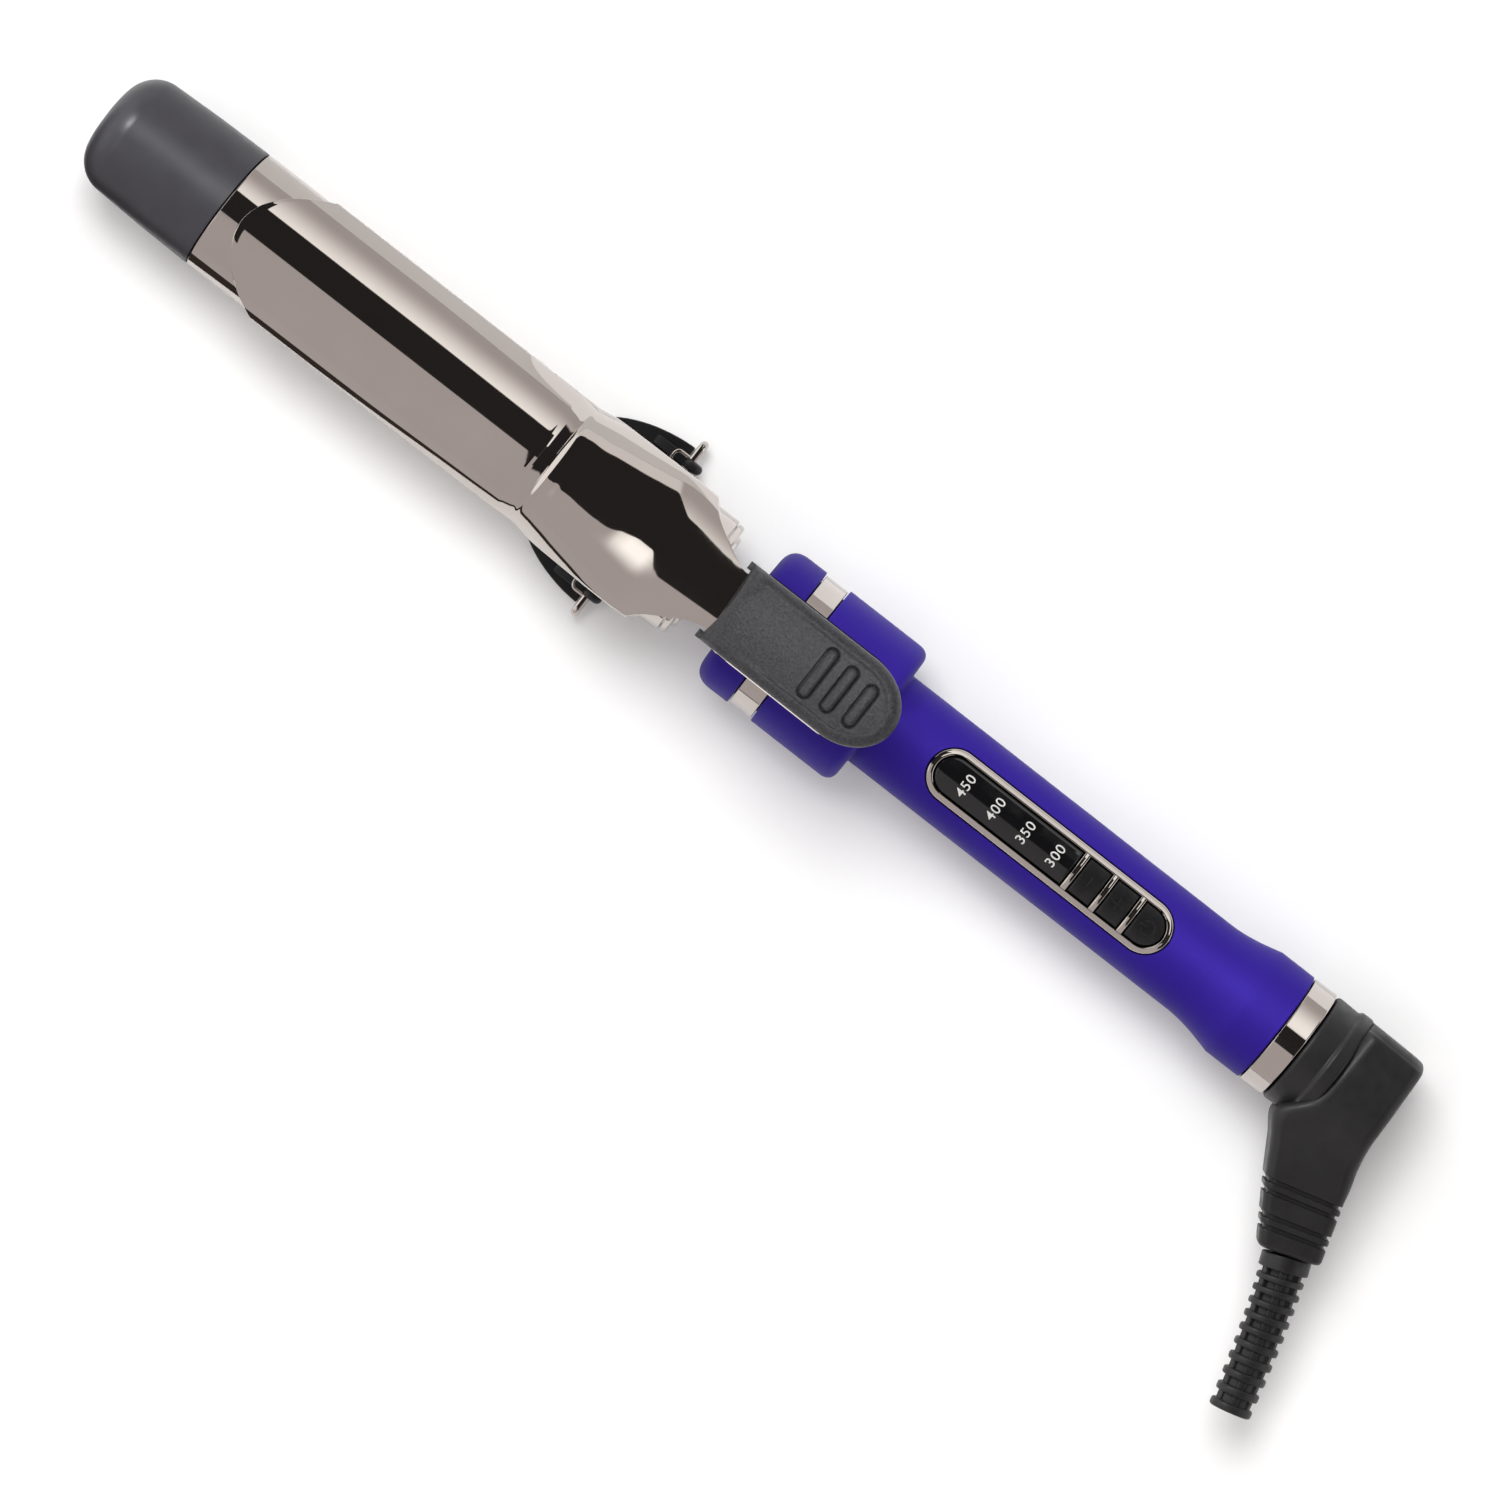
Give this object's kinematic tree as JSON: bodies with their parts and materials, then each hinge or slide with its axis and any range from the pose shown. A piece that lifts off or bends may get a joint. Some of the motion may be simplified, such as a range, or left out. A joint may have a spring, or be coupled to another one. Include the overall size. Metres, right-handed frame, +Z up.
{
  "type": "curling iron",
  "caption": "Spring-clamp curling iron with a round plated barrel, thumb lever, folding rest stand, slim key panel and swivelling cord elbow.",
  "frame": {"origin": "middle of the rest stand's front bar, on its underside, where the iron touches the table", "axes": "+X along the tool from the tip to the cord end, +Y across it, +Z up from the table; the elbow points to -Y"},
  "size_m": [0.3953, 0.104, 0.059],
  "materials": {
    "plated": "warm titanium-coloured mirror plating",
    "violet": "satin soft-touch lacquer, deep violet-blue with a metallic undertone",
    "charcoal": "heat-resistant moulded plastic, matte, finely grained on the pad",
    "black": "matte moulded black",
    "window": "gloss black lens with white level numbers",
    "steel": "plain bright steel",
    "aluminium": "extruded, as drawn",
    "ceramic": "unglazed heater ceramic",
    "sensor": "epoxy bead",
    "board": "green solder mask",
    "switch": "black moulded switch body",
    "lamp": "clear lens",
    "brass": "turned and bright",
    "lead_red": "insulated lead",
    "lead_blue": "insulated lead"
  },
  "bodies": {
    "iron": {"barrel_tube": "plated", "barrel_end_cap": "plated", "stand_bracket": "plated", "collar_band": "plated", "panel_bezel": "plated", "rear_ring": "plated", "collar_front": "violet", "handle_upper": "violet", "handle_lower": "violet", "tip_cap": "charcoal", "swivel_bushing": "black", "display_window": "window", "neck_tube": "steel", "hinge_bracket": "steel", "hinge_pin": "steel", "torsion_spring": "steel", "handle_screw_front": "steel", "handle_screw_rear": "steel", "heat_spreader_upper": "aluminium", "heat_spreader_lower": "aluminium", "heating_element": "ceramic", "temperature_sensor": "sensor", "circuit_board": "board", "key_switch_minus": "switch", "key_switch_plus": "switch", "key_switch_power": "switch", "level_light_1": "lamp", "level_light_2": "lamp", "level_light_3": "lamp", "level_light_4": "lamp", "brush_live": "brass", "brush_neutral": "brass", "heater_lead_live": "lead_red", "power_lead_live": "lead_red", "heater_lead_neutral": "lead_blue", "power_lead_neutral": "lead_blue"},
    "clamp": {"clamp_plate": "plated", "thumb_pad": "charcoal", "clamp_lug_left": "steel", "clamp_lug_right": "steel", "pad_rivet_front": "steel", "pad_rivet_rear": "steel"},
    "stand": {"stand_plate": "black", "stand_wire_left": "plated", "stand_wire_right": "plated", "stand_pin_left": "steel", "stand_pin_right": "steel"},
    "swivel": {"swivel_elbow": "black", "strain_relief": "black", "slip_ring_live": "brass", "slip_ring_neutral": "brass"},
    "key_minus": {"key_minus": "black"},
    "key_plus": {"key_plus": "black"},
    "key_power": {"key_power": "black"}
  },
  "joints": [
    {"name": "clamp_hinge", "type": "hinge", "parent": "iron", "child": "clamp", "pos_m": [0.03, 0, 0.0385], "axis": [0, 1, 0], "range_deg": [0, 12], "stiffness_Nm_per_rad": 0.9, "springref_deg": -14.32, "deforming": ["torsion_spring"]},
    {"name": "stand_hinge", "type": "hinge", "parent": "iron", "child": "stand", "pos_m": [0.0266, 0, 0.0065], "axis": [0, -1, 0], "range_deg": [0, 100]},
    {"name": "cord_swivel", "type": "hinge", "parent": "iron", "child": "swivel", "pos_m": [0.2208, 0, 0.019], "axis": [1, 0, 0], "continuous": true},
    {"name": "key_minus_press", "type": "slide", "parent": "iron", "child": "key_minus", "axis": [0, 0, -1], "range_m": [0, 0.0006], "stiffness_N_per_m": 800},
    {"name": "key_plus_press", "type": "slide", "parent": "iron", "child": "key_plus", "axis": [0, 0, -1], "range_m": [0, 0.0006], "stiffness_N_per_m": 800},
    {"name": "key_power_press", "type": "slide", "parent": "iron", "child": "key_power", "axis": [0, 0, -1], "range_m": [0, 0.0006], "stiffness_N_per_m": 800}
  ]
}
